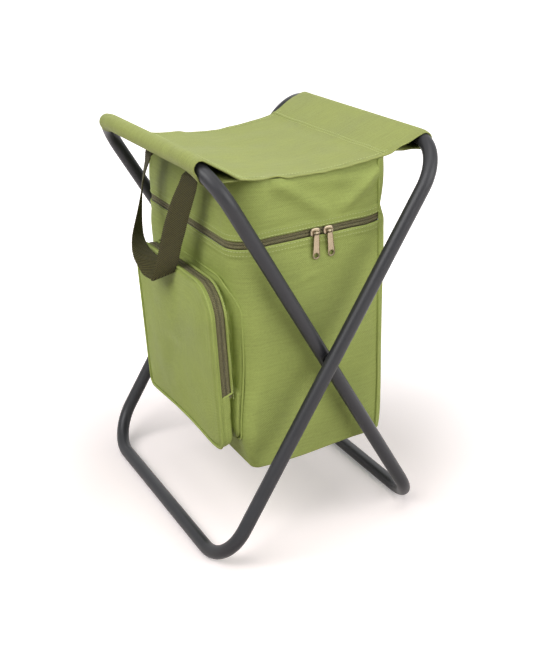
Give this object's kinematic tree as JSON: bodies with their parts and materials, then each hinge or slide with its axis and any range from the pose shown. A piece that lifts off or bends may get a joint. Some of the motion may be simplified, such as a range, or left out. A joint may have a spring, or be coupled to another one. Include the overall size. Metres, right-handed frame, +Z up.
{
  "type": "folding cooler stool",
  "caption": "Folding stool of bent tube that crosses like scissors, with a cloth seat and a zipped, insulated cooler bag hung beneath it; the bag has a zipped pocket and a carrying strap",
  "frame": {"origin": "on the floor under the middle of the frame's bounding box", "axes": "+X from the rail over the pocket to the rail over the bag's hinge, +Y from the side with the main zip's pulls to the opposite side, +Z up"},
  "size_m": [0.2682, 0.343, 0.4361],
  "materials": {
    "frame_paint": "charcoal powder coat, fine grain",
    "rivet_steel": "plain zinc-plated steel",
    "spacer_nylon": "black moulded nylon",
    "bag_cloth": "olive green woven polyester",
    "seat_cloth": "olive green woven polyester, heavier",
    "strap_webbing": "dark olive woven webbing",
    "zip_tape": "olive brown zip tape with coil",
    "zip_metal": "warm bright plated zinc",
    "foam": "white closed-cell foam sheet",
    "liner": "silver heat-reflecting film"
  },
  "bodies": {
    "outer_frame": {"outer_frame_tube": "frame_paint", "outer_frame_spigot": "rivet_steel", "right_seat_sleeve": "seat_cloth", "front_pivot_rivet": "rivet_steel", "rear_pivot_rivet": "rivet_steel", "front_pivot_spacer": "spacer_nylon", "rear_pivot_spacer": "spacer_nylon"},
    "inner_frame": {"inner_frame_tube": "frame_paint", "inner_frame_spigot": "rivet_steel", "left_seat_sleeve": "seat_cloth"},
    "bag_lid": {"seat_panel": "seat_cloth", "lid_foam": "foam", "lid_lining": "liner", "lid_skirt": "bag_cloth", "upper_hinge_panel": "bag_cloth", "upper_front_piping": "bag_cloth", "upper_rear_piping": "bag_cloth", "upper_zip_tape": "zip_tape", "strap_front_anchor": "strap_webbing", "strap_rear_anchor": "strap_webbing"},
    "bag_body": {"wall_panel": "bag_cloth", "lower_hinge_panel": "bag_cloth", "bag_base": "bag_cloth", "wall_foam": "foam", "hinge_foam": "foam", "base_foam": "foam", "cooler_liner": "liner", "lower_zip_tape": "zip_tape", "lower_front_piping": "bag_cloth", "lower_rear_piping": "bag_cloth", "pocket_front": "bag_cloth", "pocket_gusset": "bag_cloth", "pocket_piping": "bag_cloth", "pocket_zip_tape": "zip_tape"},
    "left_slider": {"left_zip_slider": "zip_metal"},
    "left_pull": {"left_zip_pull": "zip_metal"},
    "right_slider": {"right_zip_slider": "zip_metal"},
    "right_pull": {"right_zip_pull": "zip_metal"},
    "pocket_slider": {"pocket_zip_slider": "zip_metal"},
    "pocket_pull": {"pocket_zip_pull": "zip_metal"},
    "strap": {"carry_strap": "strap_webbing"}
  },
  "joints": [
    {"name": "fold", "type": "hinge", "parent": "outer_frame", "child": "inner_frame", "pos_m": [0, 0, 0.21718], "axis": [0, 1, 0], "range_deg": [0, 44]},
    {"name": "bag_follow", "type": "hinge", "parent": "outer_frame", "child": "bag_lid", "pos_m": [0, 0, 0.21718], "axis": [0, 1, 0], "range_deg": [0, 22]},
    {"name": "bag_opening", "type": "hinge", "parent": "bag_lid", "child": "bag_body", "pos_m": [0.0844, -0.011, 0.35416], "axis": [0, -1, 0], "range_deg": [0, 25]},
    {"name": "left_slide", "type": "slide", "parent": "bag_body", "child": "left_slider", "axis": [0.9967, 0, 0.0815], "range_m": [-0.04, 0]},
    {"name": "left_pull_swing", "type": "hinge", "parent": "left_slider", "child": "left_pull", "pos_m": [-0.002, -0.1328, 0.34682], "axis": [-1, 0, 0], "range_deg": [0, 120]},
    {"name": "right_slide", "type": "slide", "parent": "bag_body", "child": "right_slider", "axis": [0.996, 0, 0.0896], "range_m": [0, 0.048]},
    {"name": "right_pull_swing", "type": "hinge", "parent": "right_slider", "child": "right_pull", "pos_m": [0.013, -0.1328, 0.34817], "axis": [-1, 0, 0], "range_deg": [0, 120]},
    {"name": "pocket_slide", "type": "slide", "parent": "bag_body", "child": "pocket_slider", "axis": [-0.0662, 0, 0.9978], "range_m": [0, 0.052]},
    {"name": "pocket_pull_swing", "type": "hinge", "parent": "pocket_slider", "child": "pocket_pull", "pos_m": [-0.0979, 0.0839, 0.2005], "axis": [1, 0, 0], "range_deg": [0, 120]},
    {"name": "strap_swing", "type": "hinge", "parent": "bag_lid", "child": "strap", "pos_m": [-0.1069, 0, 0.4001], "axis": [0, 1, 0], "range_deg": [0, 80]}
  ],
  "couplings": [
    {"joint": "bag_follow", "follows": "fold", "ratio": 0.5}
  ]
}
